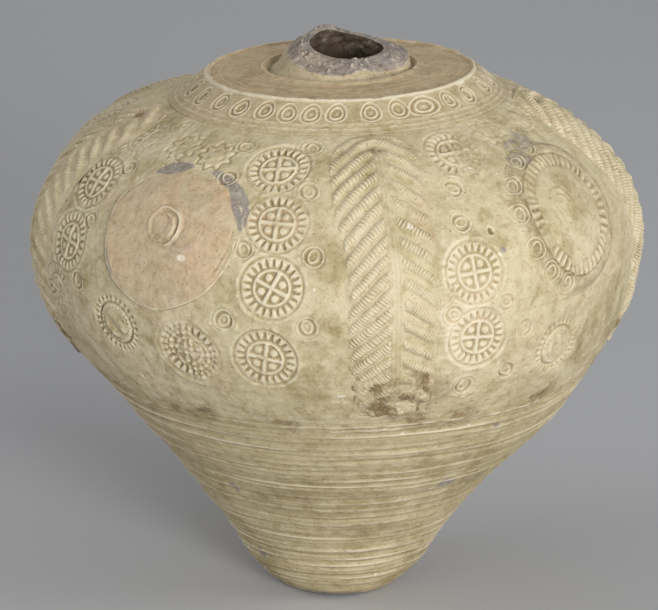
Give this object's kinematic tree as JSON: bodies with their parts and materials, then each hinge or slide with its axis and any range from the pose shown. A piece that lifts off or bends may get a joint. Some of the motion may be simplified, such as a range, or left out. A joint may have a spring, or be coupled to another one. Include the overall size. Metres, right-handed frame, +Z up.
{
  "type": "sphero-conical vessel",
  "caption": "Thick-walled sphero-conical stoneware vessel: pointed cone, stamped dome with leaf panels and roundels, stepped collar and a broken-off neck.",
  "frame": {"origin": "centre of the foot, on the surface that the vessel stands on", "axes": "+Z up along the throwing axis, -Y towards the front leaf panel's side, as in the picture"},
  "size_m": [0.1236, 0.1236, 0.1133],
  "materials": {
    "cone_clay": "unglazed, thrown, matt with dust in the ridges",
    "body_clay": "unglazed, thin pale slip, matt, stamped while leather hard",
    "panel_clay": "unglazed, applied, pressed and toothed, matt",
    "scar_clay": "unglazed, smooth pinkish pad, matt with grey flaked edge",
    "core_clay": "broken grey core, rough and dirty"
  },
  "bodies": {
    "root": {"lower_cone": "cone_clay", "upper_body": "body_clay", "shoulder_collar": "body_clay", "neck_stump": "core_clay", "leaf_panel_front": "panel_clay", "leaf_panel_right": "panel_clay", "leaf_panel_back": "panel_clay", "leaf_panel_left": "panel_clay", "roundel_front_left": "scar_clay", "roundel_front_right": "panel_clay", "roundel_rear_right": "panel_clay", "roundel_rear_left": "panel_clay"}
  },
  "joints": []
}
